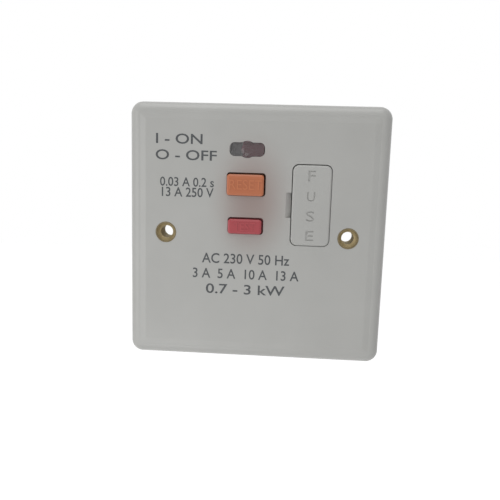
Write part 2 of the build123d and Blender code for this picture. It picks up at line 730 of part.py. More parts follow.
def clip_bus_y():
    """Middle of the busbars that lie on the back of the inner frame."""
    return DECK_BACK_Y + BUSBAR_T / 2


def live_strip():
    """From the upper fuse clip through the toroid to the live contact."""
    through_x = TOROID_X + BUSBAR_W / 2 + STRIP_GAP / 2
    turn_z = TOROID_Z - TOROID_H / 2 - WINDING_T - BUSBAR_W
    down_x = CARRIER_X - LIVE_TURN_IN
    return supply_strip([
        (CARRIER_X, clip_bus_y(), CLIP_TOP_Z),
        (down_x, clip_bus_y(), CLIP_TOP_Z),
        (down_x, clip_bus_y(), turn_z),
        (through_x, clip_bus_y(), turn_z),
        (through_x, TOROID_Y, turn_z),
        (through_x, TOROID_Y, STRIP_TURN_Z),
    ], CONTACT_X_LIVE)


def fuse_feed_strip():
    """From the supply live terminal to the lower fuse clip."""
    turn_z = -TERMINAL_INNER_Z + FEED_TURN_UP
    return busbar([
        (CARRIER_X, clip_bus_y(), CLIP_BOTTOM_Z),
        (CARRIER_X, clip_bus_y(), turn_z),
        (CARRIER_X, TOROID_Y, turn_z),
        (TERMINAL_PITCH, TOROID_Y, turn_z),
        (TERMINAL_PITCH, TOROID_Y, -TERMINAL_INNER_Z + BUSBAR_W / 2),
    ])


def strap_places():
    """Left wall leg and back run of the earth strap."""
    wall_x = -IN_X + 0.2 + BUSBAR_T / 2
    back_y = BACK_IN_Y - 1.6
    low_z = -TERMINAL_INNER_Z + BUSBAR_W + STRAP_TURN_UP
    return wall_x, back_y, low_z


def earth_strap():
    """From the left eyelet, down the housing wall, to both earth terminals."""
    wall_x, back_y, low_z = strap_places()
    eyelet_x = -FIXING_PITCH / 2
    half_t = BUSBAR_T / 2
    tongue_half = EYELET_TUBE_R + STRAP_TONGUE_RIM
    tongue = plain(eyelet_x - tongue_half, wall_x + half_t, -tongue_half, tongue_half, 1.0)
    body = prism(tongue, -BUSBAR_T, 0)
    body -= rod_y(eyelet_x, 0, EYELET_TUBE_R + EYELET_FIT, -BUSBAR_T - 1, 1)
    body += block(wall_x - half_t, wall_x + half_t, -BUSBAR_T, 0, low_z - BUSBAR_W / 2, 0)
    body += block(
        wall_x - half_t, wall_x + half_t, -BUSBAR_T, back_y + half_t,
        low_z - BUSBAR_W / 2, low_z + BUSBAR_W / 2,
    )
    body += busbar([
        (wall_x + BUSBAR_W / 2 - half_t, back_y, low_z), (0, back_y, low_z),
        (0, back_y, -TERMINAL_INNER_Z + BUSBAR_W / 2),
    ])
    link_x = TERMINAL_PITCH / 2 + 1
    high_z = TERMINAL_INNER_Z - BUSBAR_W - 1
    body += busbar([
        (0, back_y, low_z), (link_x, back_y, low_z), (link_x, back_y, high_z),
        (TERMINAL_PITCH, back_y, high_z), (TERMINAL_PITCH, back_y, TERMINAL_INNER_Z - BUSBAR_W / 2),
    ])
    return body


def terminal(x, side):
    """Brass block with a wire bore and a threaded hole for its clamp screw."""
    z = side * TERMINAL_Z
    body = block(
        x - TERMINAL_W / 2, x + TERMINAL_W / 2, TERMINAL_FRONT_Y, TERMINAL_BACK_Y,
        z - TERMINAL_H / 2, z + TERMINAL_H / 2,
    )
    body = chamfer(body.edges().filter_by(Axis.Y), 0.6)
    body -= rod_z(x, WIRE_Y, WIRE_BORE_R, z - TERMINAL_H / 2, z + TERMINAL_H / 2)
    body -= rod_y(x, z, CLAMP_R + THREAD_FIT, WIRE_Y, TERMINAL_BACK_Y)
    return body


def clamp_screw(x, side):
    """Terminal screw, backed out so that the wire bore is open."""
    z = side * TERMINAL_Z
    tip_y = WIRE_Y + WIRE_BORE_R + 0.1
    head_y = TERMINAL_BACK_Y + CLAMP_TRAVEL + 0.1
    body = rod_y(x, z, CLAMP_R, tip_y, head_y)
    head = rod_y(x, z, CLAMP_HEAD_R, head_y, head_y + CLAMP_HEAD_T)
    head = chamfer(head.faces().sort_by(Axis.Y)[-1].edges(), 0.3)
    slot_y = head_y + CLAMP_HEAD_T - 0.9
    head -= block(x - 0.4, x + 0.4, slot_y, slot_y + 2, z - 3, z + 3)
    return body + head


def rear_housing():
    """Deep moulded box behind the plate, with wire entries and screw access holes."""
    half_x = HOUSING_W / 2
    half_z = HOUSING_H / 2
    body = prism(plain(-half_x, half_x, -half_z, half_z, HOUSING_R), INNER_Y, HOUSING_BACK_Y)
    body = fillet(body.faces().sort_by(Axis.Y)[-1].edges(), HOUSING_R * 0.6)
    body -= prism(plain(-IN_X, IN_X, -IN_Z, IN_Z, HOUSING_R - HOUSING_WALL), INNER_Y, BACK_IN_Y)
    for x, z in housing_screw_places():
        body += rod_y(x, z, COLUMN_R, DECK_BACK_Y, BACK_IN_Y)
        body -= rod_y(x, z, SCREW_R + THREAD_FIT, DECK_BACK_Y, HOUSING_BACK_Y)
        body -= rod_y(x, z, SCREW_HEAD_R + 0.2, HOUSING_BACK_Y - SCREW_HEAD_T - 0.6, HOUSING_BACK_Y)
    for name, x, side in terminal_places():
        z0, z1 = spread(side, TERMINAL_INNER_Z, IN_Z)
        body += block(x - TERMINAL_W / 2, x + TERMINAL_W / 2, TERMINAL_BACK_Y, BACK_IN_Y, z0, z1)
        body -= rod_y(x, side * TERMINAL_Z, CLAMP_ACCESS_R, TERMINAL_BACK_Y, HOUSING_BACK_Y)
        w0, w1 = spread(side, IN_Z, half_z)
        body -= rod_z(x, WIRE_Y, WIRE_ENTRY_R, w0, w1)
    for side in (-1, 1):
        z0, z1 = spread(side, TERMINAL_INNER_Z - 1.5, IN_Z)
        for across in (-1, 1):
            x = across * TERMINAL_PITCH / 2
            rib_half = TERMINAL_RIB_T / 2
            body += block(x - rib_half, x + rib_half, DECK_BACK_Y + 0.4 + BUSBAR_T, BACK_IN_Y, z0, z1)
    slot_half = EYELET_TUBE_R + STRAP_TONGUE_RIM + 0.2
    body -= block(-half_x - 1, -IN_X + 0.5, -BUSBAR_T - 0.2, 0.2, -slot_half, slot_half)
    wall_x, back_y, low_z = strap_places()
    link_x = TERMINAL_PITCH / 2 + 1
    high_z = TERMINAL_INNER_Z - BUSBAR_W - 1
    rest_y = back_y + BUSBAR_T / 2 + 0.1
    for end_z, inward in ((low_z, 1), (high_z, -1)):
        near_z = end_z + inward * STRAP_REST_IN
        far_z = near_z + inward * STRAP_REST_LEN
        body += block(link_x - 1, link_x + 1, rest_y, BACK_IN_Y, min(near_z, far_z), max(near_z, far_z))
    return body


def housing_screws():
    """Four screws from the back of the housing into the plate's bosses."""
    head_back = HOUSING_BACK_Y - 0.6
    screws = []
    for x, z in housing_screw_places():
        screw = rod_y(x, z, SCREW_R, INNER_Y + 4, head_back - SCREW_HEAD_T)
        head = rod_y(x, z, SCREW_HEAD_R, head_back - SCREW_HEAD_T, head_back)
        head -= block(x - 1.6, x + 1.6, head_back - 0.8, head_back, z - 0.35, z + 0.35)
        head -= block(x - 0.35, x + 0.35, head_back - 0.8, head_back, z - 1.6, z + 1.6)
        screws.append(screw + head)
    return Compound(children=screws)


def inner_frame():
    """Deck between the front and rear chambers, with posts, a pin bracket and terminal stops."""
    half_x = IN_X - DECK_GAP
    half_z = IN_Z - DECK_GAP
    body = prism(plain(-half_x, half_x, -half_z, half_z, 1.0), DECK_Y, DECK_BACK_Y)
    for x, z in housing_screw_places():
        body -= rod_y(x, z, SCREW_R + 0.2, DECK_Y, DECK_BACK_Y)
    body -= block(STEM_X0 - 0.3, STEM_X1 + 0.3, DECK_Y, DECK_BACK_Y, STEM_Z0 - 0.3, STEM_Z1 + 0.3)
    for z in (CLIP_TOP_Z, CLIP_BOTTOM_Z):
        body -= block(CARRIER_X - 1.6, CARRIER_X + 1.6, DECK_Y, DECK_BACK_Y, z - 1.4, z + 1.4)
    for x, z in board_screw_places():
        body += rod_y(x, z, BOARD_POST_R, BOARD_BACK_Y, DECK_Y)
        body -= rod_y(x, z, BOARD_SCREW_R + THREAD_FIT, BOARD_BACK_Y, DECK_Y)
    wall_x, back_y, low_z = strap_places()
    body -= block(
        -half_x - 1, wall_x + BUSBAR_T / 2 + 0.2, DECK_Y, DECK_BACK_Y,
        low_z - BUSBAR_W / 2 - 0.3, low_z + BUSBAR_W / 2 + 0.3,
    )
    for name, x, side in terminal_places():
        z0, z1 = spread(side, TERMINAL_Z - TERMINAL_STOP / 2, TERMINAL_Z + TERMINAL_STOP / 2)
        stop_half = TERMINAL_STOP / 2
        body += block(x - stop_half, x + stop_half, DECK_BACK_Y, TERMINAL_FRONT_Y, z0, z1)
    # Bracket above the lever that holds its pin
    z0 = LEVER_Z1 + 0.2
    z1 = z0 + 1.6
    body += block(
        LEVER_X - LEVER_HUB_R, LEVER_X + LEVER_HUB_R, LEVER_Y - LEVER_HUB_R, DECK_Y, z0, z1,
    )
    body -= rod_z(LEVER_X, LEVER_Y, LEVER_PIN_R, z0, z1)
    # Post that guides the reset spring
    body += rod_y(RESET_SPRING_X, RESET_Z, RESET_SPRING_R - 0.7, DECK_Y - 4, DECK_Y)
    return body


def circuit_board():
    """Board with a step cut out beside the fuse tunnel."""
    outline = make_face(Polyline(
        (BOARD_X0, BOARD_Z0), (BOARD_X1, BOARD_Z0), (BOARD_X1, BOARD_STEP_Z),
        (BOARD_STEP_X, BOARD_STEP_Z), (BOARD_STEP_X, BOARD_Z1), (BOARD_X0, BOARD_Z1), close=True,
    ))
    body = prism(outline, BOARD_Y, BOARD_BACK_Y)
    for x, z in board_screw_places():
        body -= rod_y(x, z, BOARD_SCREW_R + 0.1, BOARD_Y, BOARD_BACK_Y)
    return body


def board_screws():
    """Three small screws that hold the board to its posts."""
    screws = []
    for x, z in board_screw_places():
        shank = rod_y(x, z, BOARD_SCREW_R, BOARD_Y, DECK_Y - 0.5)
        head = rod_y(x, z, BOARD_SCREW_R + 0.8, BOARD_Y - 1.1, BOARD_Y)
        screws.append(shank + head)
    return Compound(children=screws)


def smoothing_capacitor():
    """Round can lying on the board."""
    x0 = BOARD_X0 + CAPACITOR_IN
    z = BOARD_Z0 + CAPACITOR_R + CAPACITOR_UP
    body = rod_x(BOARD_Y - CAPACITOR_R, z, CAPACITOR_R, x0, x0 + CAPACITOR_LEN)
    return fillet(body.edges(), 0.5)


def surge_varistor():
    """Disc lying flat on the board."""
    x = BOARD_X1 - VARISTOR_IN
    body = rod_y(x, BOARD_Z0 + VARISTOR_UP, VARISTOR_R, BOARD_Y - VARISTOR_T, BOARD_Y)
    return fillet(body.edges(), 1.0)


def test_resistor():
    """Small axial resistor beside the test contact."""
    z = TEST_Z - RESISTOR_DROP
    body = rod_x(BOARD_Y - RESISTOR_R, z, RESISTOR_R, TEST_X - RESISTOR_LEN / 2, TEST_X + RESISTOR_LEN / 2)
    return fillet(body.edges(), 0.4)


def control_chip():
    """Flat chip with a row of legs along each long side."""
    x = BOARD_X0 + CHIP_IN
    z = BOARD_Z0 + CHIP_UP
    body = block(
        x - CHIP_W / 2, x + CHIP_W / 2, BOARD_Y - CHIP_T - 0.15, BOARD_Y - 0.15,
        z - CHIP_H / 2, z + CHIP_H / 2,
    )
    pitch = CHIP_W / CHIP_LEG_COUNT
    reach = CHIP_H / 2 + CHIP_LEG_LEN
    for index in range(CHIP_LEG_COUNT):
        leg_x = x + (index - (CHIP_LEG_COUNT - 1) / 2) * pitch
        x0, x1 = leg_x - CHIP_LEG_W / 2, leg_x + CHIP_LEG_W / 2
        body += block(x0, x1, BOARD_Y - 0.2, BOARD_Y, z - reach, z + reach)
    return body


def test_contact():
    """Sprung dome on the board under the test button."""
    body = rod_y(TEST_X, TEST_Z, 1.6, BOARD_Y - 0.4, BOARD_Y)
    body += rod_y(TEST_X, TEST_Z, 1.0, BOARD_Y - 1.0, BOARD_Y - 0.4)
    return body


def test_button():
    """Test button with a captive flange and a round stem."""
    flange_back = TEST_FLANGE_Y + BUTTON_FLANGE_T
    stem_end = BOARD_Y - 1.0 - TEST_TRAVEL - 0.1
    body = button_cap(TEST_X0, TEST_X1, TEST_Z0, TEST_Z1, TEST_PROUD, TEST_FLANGE_Y)
    body += block(
        TEST_X0 - BUTTON_FLANGE, TEST_X1 + BUTTON_FLANGE, TEST_FLANGE_Y, flange_back,
        TEST_Z0 - BUTTON_FLANGE, TEST_Z1 + BUTTON_FLANGE,
    )
    body += rod_y(TEST_X, TEST_Z, TEST_SPRING_R - TEST_SPRING_WIRE - 0.9, flange_back, stem_end)
    return body


def test_spring():
    """Return spring between the test button's flange and the board."""
    y0 = TEST_FLANGE_Y + BUTTON_FLANGE_T + SPRING_SEAT
    y1 = BOARD_Y - SPRING_SEAT
    return coil(TEST_X, TEST_Z, TEST_SPRING_R, TEST_SPRING_WIRE, TEST_SPRING_TURNS, y0, y1)


def reset_spring():
    """Spring between the reset button's flange and the inner frame."""
    y0 = RESET_FLANGE_Y + BUTTON_FLANGE_T + SPRING_SEAT
    return coil(
        RESET_SPRING_X, RESET_Z, RESET_SPRING_R, RESET_SPRING_WIRE, RESET_SPRING_TURNS,
        y0, DECK_Y - SPRING_SEAT,
    )


def toroid_core():
    """Ring core that both supply bars pass through."""
    ring = rod_z(TOROID_X, TOROID_Y, TOROID_OUT_R, TOROID_Z - TOROID_H / 2, TOROID_Z + TOROID_H / 2)
    return ring - rod_z(TOROID_X, TOROID_Y, TOROID_IN_R, TOROID_Z - TOROID_H, TOROID_Z + TOROID_H)


def toroid_winding():
    """Winding round the ring core, with a lobe for each bunch of turns."""
    half = TOROID_H / 2 + WINDING_T
    ring = Cylinder(TOROID_OUT_R + WINDING_T / 2, 2 * half)
    for index in range(WINDING_LOBES):
        turn = Rot(0, 0, index * 360 / WINDING_LOBES)
        ring += turn * Pos(TOROID_OUT_R + WINDING_T / 2 - 0.2, 0, 0) * Box(WINDING_T + 0.4, 0.9, 2 * half)
    ring -= Cylinder(TOROID_IN_R - WINDING_T, 4 * half)
    body = Pos(TOROID_X, TOROID_Y, TOROID_Z) * ring
    return body - toroid_core()


def solenoid_bobbin():
    """Bobbin with a flange at each end and a tube for the plunger."""
    x0 = SOLENOID_X0 + YOKE_T
    x1 = SOLENOID_X1 - YOKE_T
    body = rod_x(SOLENOID_Y, SOLENOID_Z, SOLENOID_CORE_R, x0, x1)
    body += rod_x(SOLENOID_Y, SOLENOID_Z, SOLENOID_FLANGE_R, x0, x0 + 0.8)
    body += rod_x(SOLENOID_Y, SOLENOID_Z, SOLENOID_FLANGE_R, x1 - 0.8, x1)
    return body - rod_x(SOLENOID_Y, SOLENOID_Z, PLUNGER_R + PLUNGER_FIT, x0, x1)


def solenoid_winding():
    """Copper winding on the bobbin."""
    x0 = SOLENOID_X0 + YOKE_T + 0.8
    x1 = SOLENOID_X1 - YOKE_T - 0.8
    body = rod_x(SOLENOID_Y, SOLENOID_Z, SOLENOID_COIL_R, x0, x1)
    return body - rod_x(SOLENOID_Y, SOLENOID_Z, SOLENOID_CORE_R, x0, x1)


def solenoid_yoke():
    """U-shaped steel yoke that stands on the inner frame."""
    half = SOLENOID_FLANGE_R + 0.2
    body = block(SOLENOID_X0, SOLENOID_X1, DECK_Y - YOKE_T, DECK_Y, SOLENOID_Z - half, SOLENOID_Z + half)
    for x0 in (SOLENOID_X0, SOLENOID_X1 - YOKE_T):
        body += block(
            x0, x0 + YOKE_T, SOLENOID_Y - SOLENOID_FLANGE_R, DECK_Y,
            SOLENOID_Z - half, SOLENOID_Z + half,
        )
    return body - rod_x(SOLENOID_Y, SOLENOID_Z, PLUNGER_R + PLUNGER_FIT, SOLENOID_X1 - 2, SOLENOID_X1 + 1)


def sear_root_x():
    """Where the plunger's steel ends and its moulded tip begins."""
    return SOLENOID_X1 + PLUNGER_TRAVEL + 0.2


def trip_plunger():
    """Steel plunger of the trip solenoid."""
    back = SOLENOID_X0 + YOKE_T + PLUNGER_TRAVEL + 0.4
    return rod_x(SOLENOID_Y, SOLENOID_Z, PLUNGER_R, back, sear_root_x())


def plunger_tip():
    """Moulded sear on the plunger that holds the reset stem in."""
    nose_x = STEM_X0 + SEAR_BITE
    slope = RESET_TRAVEL / PLUNGER_TRAVEL
    low_y = SOLENOID_Y - 1.2
    nose_y = SOLENOID_Y
    root_y = nose_y + slope * 0.9
    outline = make_face(Polyline(
        (sear_root_x(), low_y), (nose_x, low_y), (nose_x, nose_y),
        (nose_x - 0.9, root_y), (sear_root_x(), root_y), close=True,
    ))
    return slice_up(outline, SOLENOID_Z - 1.3, SOLENOID_Z + 1.3)


def fuse_carrier():
    """Draw-out carrier: slab, guide skirts and a cradle that holds the fuse between its caps."""
    front_y = FACE_Y - CARRIER_PROUD
    outline = plain(CARRIER_X0, CARRIER_X1, CARRIER_Z0, CARRIER_Z1, CARRIER_R)
    body = prism(outline, front_y, SLAB_BACK_Y)
    body = chamfer(front_edges(body), CARRIER_BEVEL_DROP, CARRIER_BEVEL)
    low_z = CARRIER_Z0 + CARRIER_R
    high_z = CARRIER_Z1 - CARRIER_R
    skirt_y = FUSE_Y - CARRIER_SKIRT_FUSE_GAP
    for x0 in (CARRIER_X0 + CARRIER_SKIRT_IN, CARRIER_X1 - CARRIER_SKIRT_IN - CARRIER_SKIRT_T):
        body += block(x0, x0 + CARRIER_SKIRT_T, SLAB_BACK_Y, skirt_y, low_z, high_z)
    half_w = FUSE_TUBE_R + CRADLE_WALL
    low_z = FUSE_Z0 + FUSE_CAP_LEN + CRADLE_CAP_GAP
    high_z = FUSE_Z1 - FUSE_CAP_LEN - CRADLE_CAP_GAP
    cradle_y = FUSE_Y + CRADLE_PAST_FUSE
    cradle = block(CARRIER_X - half_w, CARRIER_X + half_w, SLAB_BACK_Y, cradle_y, low_z, high_z)
    cradle -= rod_z(CARRIER_X, FUSE_Y, FUSE_TUBE_R + CRADLE_FIT, low_z, high_z)
    mouth = CRADLE_MOUTH / 2
    cradle -= block(CARRIER_X - mouth, CARRIER_X + mouth, FUSE_Y, cradle_y, low_z, high_z)
    return body + cradle


def fuse_tube():
    """Ceramic tube of the cartridge fuse."""
    return rod_z(CARRIER_X, FUSE_Y, FUSE_TUBE_R, FUSE_Z0 + 0.5, FUSE_Z1 - 0.5)


def fuse_caps():
    """Plated cap on each end of the fuse tube."""
    caps = []
    for z0, z1, stop in (
        (FUSE_Z0, FUSE_Z0 + FUSE_CAP_LEN, FUSE_Z0 + 0.5),
        (FUSE_Z1 - FUSE_CAP_LEN, FUSE_Z1, FUSE_Z1 - 0.5),
    ):
        cap = rod_z(CARRIER_X, FUSE_Y, FUSE_CAP_R, z0, z1)
        hollow = (stop, z1 + 1) if stop < (z0 + z1) / 2 else (z0 - 1, stop)
        caps.append(cap - rod_z(CARRIER_X, FUSE_Y, FUSE_TUBE_R, *hollow))
    return Compound(children=caps)


def fuse_clip(z):
    """U-shaped clip with a leg through the inner frame to its busbar."""
    gap = FUSE_CAP_R + CLIP_FIT
    half = CLIP_LEN / 2
    floor_y = DECK_Y - 0.8
    body = block(CARRIER_X - gap - CLIP_T, CARRIER_X + gap + CLIP_T, floor_y, DECK_Y, z - half, z + half)
    for x0 in (CARRIER_X - gap - CLIP_T, CARRIER_X + gap):
        body += block(x0, x0 + CLIP_T, FUSE_Y - 2.4, floor_y, z - half, z + half)
    body += block(CARRIER_X - 1.4, CARRIER_X + 1.4, DECK_Y, DECK_BACK_Y, z - 1.2, z + 1.2)
    return body


PARTS = {
    "front_plate": front_plate,
    "left_eyelet": lambda: eyelet(-1),
    "right_eyelet": lambda: eyelet(1),
    "window_lens": window_lens,
    "status_flag": status_flag,
    "flag_red_panel": flag_red_panel,
    "flag_lever": flag_lever,
    "flag_lever_pin": flag_lever_pin,
    "reset_button": reset_button,
    "reset_spring": reset_spring,
    "contact_carriage": contact_carriage,
    "neutral_moving_contact": lambda: moving_contact(CONTACT_X_NEUTRAL),
    "live_moving_contact": lambda: moving_contact(CONTACT_X_LIVE),
    "neutral_load_contact": lambda: load_contact(CONTACT_X_NEUTRAL, -TERMINAL_PITCH),
    "live_load_contact": lambda: load_contact(CONTACT_X_LIVE, 0),
    "neutral_strip": neutral_strip,
    "live_strip": live_strip,
    "fuse_feed_strip": fuse_feed_strip,
    "earth_strap": earth_strap,
    "test_button": test_button,
    "test_spring": test_spring,
    "test_contact": test_contact,
    "test_resistor": test_resistor,
    "circuit_board": circuit_board,
    "board_screws": board_screws,
    "control_chip": control_chip,
    "smoothing_capacitor": smoothing_capacitor,
    "surge_varistor": surge_varistor,
    "toroid_core": toroid_core,
    "toroid_winding": toroid_winding,
    "solenoid_bobbin": solenoid_bobbin,
    "solenoid_winding": solenoid_winding,
    "solenoid_yoke": solenoid_yoke,
    "trip_plunger": trip_plunger,
    "plunger_tip": plunger_tip,
    "fuse_carrier": fuse_carrier,
    "fuse_tube": fuse_tube,
    "fuse_caps": fuse_caps,
    "upper_fuse_clip": lambda: fuse_clip(CLIP_TOP_Z),
    "lower_fuse_clip": lambda: fuse_clip(CLIP_BOTTOM_Z),
    "inner_frame": inner_frame,
    "rear_housing": rear_housing,
    "housing_screws": housing_screws,
}

os.makedirs("parts", exist_ok=True)
for node, make in PARTS.items():
    export_step(make(), f"parts/{node}.step")
for place_name, place_x, place_side in terminal_places():
    export_step(terminal(place_x, place_side), f"parts/{place_name}_terminal.step")
    export_step(clamp_screw(place_x, place_side), f"parts/{place_name}_screw.step")
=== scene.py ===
import math

import bmesh
import bpy
from mathutils import Matrix, Vector


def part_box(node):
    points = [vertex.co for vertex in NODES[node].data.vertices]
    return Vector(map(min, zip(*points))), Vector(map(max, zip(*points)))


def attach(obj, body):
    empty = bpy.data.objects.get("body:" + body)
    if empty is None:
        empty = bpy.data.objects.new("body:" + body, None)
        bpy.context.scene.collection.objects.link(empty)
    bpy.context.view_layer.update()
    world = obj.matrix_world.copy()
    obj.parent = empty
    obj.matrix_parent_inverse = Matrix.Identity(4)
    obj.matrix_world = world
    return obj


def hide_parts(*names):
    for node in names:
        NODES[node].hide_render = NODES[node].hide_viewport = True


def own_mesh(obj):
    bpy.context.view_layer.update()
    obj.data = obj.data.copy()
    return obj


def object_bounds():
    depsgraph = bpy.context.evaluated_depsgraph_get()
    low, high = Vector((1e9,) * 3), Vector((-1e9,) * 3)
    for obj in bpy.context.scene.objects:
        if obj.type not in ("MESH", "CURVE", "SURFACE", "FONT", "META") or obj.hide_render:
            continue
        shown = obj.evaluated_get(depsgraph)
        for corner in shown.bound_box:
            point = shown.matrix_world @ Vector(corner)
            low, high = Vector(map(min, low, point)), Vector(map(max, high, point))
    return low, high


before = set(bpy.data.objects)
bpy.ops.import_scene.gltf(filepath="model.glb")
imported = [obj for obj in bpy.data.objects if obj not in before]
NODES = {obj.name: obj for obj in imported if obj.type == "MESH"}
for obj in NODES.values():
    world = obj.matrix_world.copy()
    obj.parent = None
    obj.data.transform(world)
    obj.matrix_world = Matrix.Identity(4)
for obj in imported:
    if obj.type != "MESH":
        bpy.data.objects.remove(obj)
cad_low, cad_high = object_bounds()

# RCD fused connection unit: the finish of every piece, its lettering, the light and the camera.
# The frame and Blender are in metres. Sizes below are in millimetres and go through MM.

MM = 0.001

# Camera, fitted to the plate's corners and eyelets in the photograph. Turn, tilt and roll in degrees
CAMERA_PLACE = (9.5, -192.2, 24.25)
CAMERA_TURN = 3.54
CAMERA_TILT = 9.025
CAMERA_ROLL = 1.71
CAMERA_LENS = 40.42
SENSOR = 36.0
NEAREST_SEEN = 10.0
FARTHEST_SEEN = 50000.0

# Stage: the floor, the light from all round, and each softbox's place, size and watts
FLOOR_DROP = 210.0
FLOOR_SIZE = 3000.0
FLOOR_GLOW = 0.55
AMBIENT = 0.51
SOFTBOXES = {
    "top_softbox": ((-60, -130, 560), 450, 1.36),
    "left_softbox": ((-390, -390, -50), 320, 0.66),
    "low_left_fill": ((-90, -260, -240), 220, 0.27),
}

# Print on the plate: each row's text, left, right, bottom and top, how far it stands out of the face,
# and how much its strokes are thickened, as a share of the type's size
PLATE_ROWS = {
    "row_on": ("I - ON", -33.6, -18.3, 29.05, 32.35),
    "row_off": ("O - OFF", -33.7, -13.6, 23.85, 27.15),
    "row_trip": ("0.03 A 0.2 s", -32.2, -14.35, 15.3, 18.3),
    "row_fuse": ("13 A 250 V", -31.6, -14.4, 11.9, 15.0),
    "row_supply": ("AC 230 V 50 Hz", -17.9, 11.3, -9.85, -6.45),
    "row_load": ("3 A  5 A  10 A  13 A", -20.9, 14.6, -15.0, -11.65),
    "row_links": ("0.7 - 3 kW", -16.4, 10.1, -20.25, -16.85),
}
PRINT_T = 0.02
PRINT_SWELL = 0.012

# Raised words on the caps: each one's text, left, right, bottom and top, and how far it stands out
CAP_WORDS = {
    "reset_button": ("RESET", -9.2, 1.5, 14.9, 18.1),
    "test_button": ("TEST", -7.4, -0.4, 1.35, 4.2),
}
CAP_WORD_T = 0.2

# Word cut into the fuse carrier: each letter's width, bottom and top, and the middle of their column.
# The cutters start outside the face, by the overhang
FUSE_LETTERS = {
    "F": (2.3, 18.3, 21.7),
    "U": (2.6, 11.8, 14.8),
    "S": (2.6, 5.25, 8.6),
    "E": (2.5, -1.1, 2.1),
}
FUSE_LETTER_X = 17.5
ENGRAVING_DEPTH = 0.3
CUTTER_OVERHANG = 0.5

# Meshes: steps in a letter's curves, how near a letter's points are joined, as a share of the type's
# size, and how near a node's points are
LETTER_STEPS = 4
LETTER_WELD = 1e-5
NODE_WELD = 0.001

# Angles in degrees: within the first, faces count as one flat face, and past the others they meet in an edge
FLAT_WITHIN = 0.5
CARRIER_EDGE = 25.0
SPRING_EDGE = 40.0

# A face of the carrier whose normal points this much to the front or the back is shaded flat
FACES_FRONT = 0.999

# Plate: its colour, its cloudier parts, and painted shade round the two buttons, warmed by painted light
# thrown off the caps
PLATE_COLOUR = "#AFAFAC"
PLATE_SHADE = "#ABABA8"
WARM_SHADE_COLOUR = "#94847F"
WARM_SHADE_CENTRE = (-1.87, 0.0, 11.48)
WARM_SHADE_REACH = (17.0, 60.0, 28.0)
WARM_SHADE_STRENGTH = 0.97

# Patterns: how wide the clouds in a moulding and the tarnish on metal are, and how far roughness varies
CLOUD_W = 18.0
TARNISH_W = 4.0
MOULDED_SPREAD = 0.06
METAL_SPREAD = 0.12

# Eyelets: how far in from its front an eyelet's lip is darkened by painted shade
EYELET_SHADED_LIP = 0.5

# Windings: the height of a turn's ridge, and the length of one wave in the wave pattern's own units
TURN_RIDGE = 0.04
WAVE_LENGTH = math.pi / 10

# Circuit board: half a track's width, the tracks' pitch, how far apart the joins between them are, how
# much of that they are moved by from row to row, the unit of the pattern, and how far a track stands up
TRACK_HALF_W = 0.144
TRACK_PITCH = 1.68
TRACK_JOIN = 7.2
TRACK_STAGGER = 0.37
TRACK_UNIT = 12.0
TRACK_RISE = 0.03

# Test resistor: where each value band starts and how wide it is, as shares of the resistor's length
LACQUER_TAN = "#C9AE84"
VALUE_BANDS = {0.2: "#7A4A22", 0.36: "#20201F", 0.52: "#B5301F", 0.74: "#B08D3A"}
BAND_SHARE = 0.08

# Mix node: its sockets for colours share their names with others, so they go by number
MIX_SHARE = 0
MIX_FIRST = 6
MIX_SECOND = 7
MIX_RESULT = 2


# Measures from the frame

def front_y(node):
    """The foremost depth of a node, in millimetres."""
    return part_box(node)[0].y / MM


# Materials

def linear(colour):
    """An sRGB hex colour as the linear colour that a shader takes."""
    parts = [int(colour[i:i + 2], 16) / 255 for i in (1, 3, 5)]
    return tuple(p / 12.92 if p <= 0.04045 else ((p + 0.055) / 1.055) ** 2.4 for p in parts) + (1.0,)


def add(tree, kind, values=None, links=None, stops=None, **settings):
    """Adds a node with its settings, its own values, the sockets that feed it and a ramp's colours."""
    node = tree.nodes.new(kind)
    for name, value in settings.items():
        setattr(node, name, value)
    for socket, value in (values or {}).items():
        node.inputs[socket].default_value = value
    for socket, source in (links or {}).items():
        tree.links.new(source, node.inputs[socket])
    for i, (position, colour) in enumerate(stops or []):
        if i > 1:
            node.color_ramp.elements.new(position)
        node.color_ramp.elements[i].position = position
        node.color_ramp.elements[i].color = linear(colour)
    return node


def new_material(name):
    """An empty material, ready for its nodes."""
    material = bpy.data.materials.new(name)
    material.use_nodes = True
    material.node_tree.nodes.clear()
    return material


def painted_warm_shade(tree, place, clean):
    """The plate's tone with painted shade round the two buttons, warmed by painted light thrown off the
    caps, and clean further out.
    """
    around = add(
        tree, "ShaderNodeMapping",
        {
            "Location": [-centre / reach for centre, reach in zip(WARM_SHADE_CENTRE, WARM_SHADE_REACH)],
            "Scale": [1 / (reach * MM) for reach in WARM_SHADE_REACH],
        },
        {"Vector": place},
    ).outputs[0]
    spot = add(
        tree, "ShaderNodeTexGradient", links={"Vector": around}, gradient_type="SPHERICAL",
    ).outputs["Fac"]
    soft = add(
        tree, "ShaderNodeMapRange", {"To Max": WARM_SHADE_STRENGTH}, {"Value": spot},
        interpolation_type="SMOOTHERSTEP",
    ).outputs[0]
    return add(
        tree, "ShaderNodeMix", {MIX_SECOND: linear(WARM_SHADE_COLOUR)}, {MIX_SHARE: soft, MIX_FIRST: clean},
        data_type="RGBA",
    ).outputs[MIX_RESULT]


